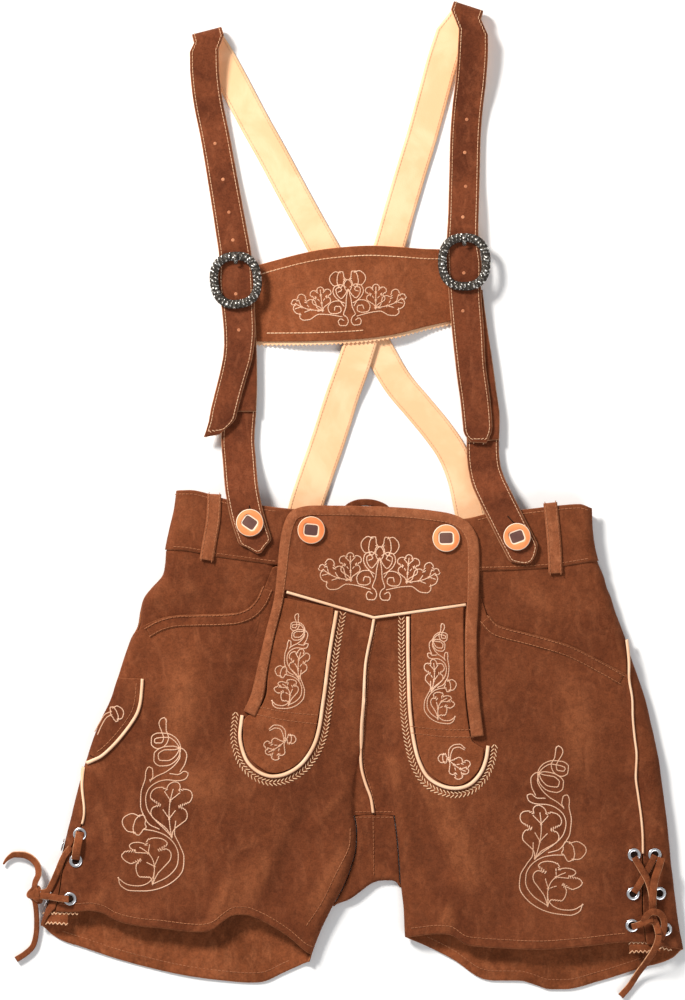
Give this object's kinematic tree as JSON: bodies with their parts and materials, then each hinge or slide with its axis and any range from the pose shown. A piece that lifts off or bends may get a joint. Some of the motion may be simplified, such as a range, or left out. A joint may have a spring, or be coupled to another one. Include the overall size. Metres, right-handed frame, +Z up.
{
  "type": "lederhosen",
  "caption": "Child's brown suede lederhosen with H-straps, embroidered drop front, laced leg hems and ring buckles, laid flat and face up.",
  "frame": {"origin": "bottom centre of the garment's box without its laces, on the surface it lies on", "axes": "+Z up out of the table and out of the garment's front; +Y from the hems to the waist and straps; +X to the viewer's right"},
  "size_m": [0.5073, 0.7493, 0.023],
  "materials": {
    "brown_suede": "mid-brown split suede, mottled nap, matt",
    "strap_suede": "mid-brown suede face with a smooth light tan lining on the back",
    "tan_lining": "smooth light tan pigskin lining, pinked edge",
    "light_piping": "smooth pale leather piping, slightly glossy",
    "lace_suede": "brown suede thong, lighter cut edges",
    "horn": "orange-brown horn-look button with a cream rim and a stitched leather centre",
    "antique_silver": "cast ring with floral relief, dark recesses and bright high spots",
    "chrome": "polished nickel eyelets"
  },
  "bodies": {
    "root": {"back_l": "brown_suede", "back_loop": "brown_suede", "back_r": "brown_suede", "belt_loop_l": "brown_suede", "belt_loop_r": "brown_suede", "buckle_l": "antique_silver", "buckle_r": "antique_silver", "button_flap_l": "horn", "button_flap_r": "horn", "button_strap_l": "horn", "button_strap_r": "horn", "chest_bar": "brown_suede", "chest_bar_lining": "tan_lining", "eyelet_l_back_1": "chrome", "eyelet_l_back_2": "chrome", "eyelet_l_back_3": "chrome", "eyelet_l_front_1": "chrome", "eyelet_l_front_2": "chrome", "eyelet_l_front_3": "chrome", "eyelet_r_back_1": "chrome", "eyelet_r_back_2": "chrome", "eyelet_r_back_3": "chrome", "eyelet_r_front_1": "chrome", "eyelet_r_front_2": "chrome", "eyelet_r_front_3": "chrome", "flap_binding": "brown_suede", "flap_yoke": "brown_suede", "front_l": "brown_suede", "front_r": "brown_suede", "gusset": "brown_suede", "hip_l": "brown_suede", "hip_r": "brown_suede", "knife_pocket": "brown_suede", "knife_pocket_piping": "light_piping", "lace_l": "lace_suede", "lace_l_end": "lace_suede", "lace_r": "lace_suede", "lacing_l": "lace_suede", "lacing_r": "lace_suede", "piping_centre": "light_piping", "piping_side_l": "light_piping", "piping_side_r": "light_piping", "piping_stripe_l": "light_piping", "piping_stripe_r": "light_piping", "piping_v": "light_piping", "pocket_welt_l": "brown_suede", "pocket_welt_r": "brown_suede", "prong_l": "antique_silver", "prong_r": "antique_silver", "slit_tab_l": "brown_suede", "slit_tab_r": "brown_suede", "strap_end_l": "brown_suede", "strap_end_r": "brown_suede", "strap_l": "strap_suede", "strap_r": "strap_suede", "stripe_l": "brown_suede", "stripe_r": "brown_suede", "waistband_back": "brown_suede", "waistband_l": "brown_suede", "waistband_r": "brown_suede"}
  },
  "joints": []
}
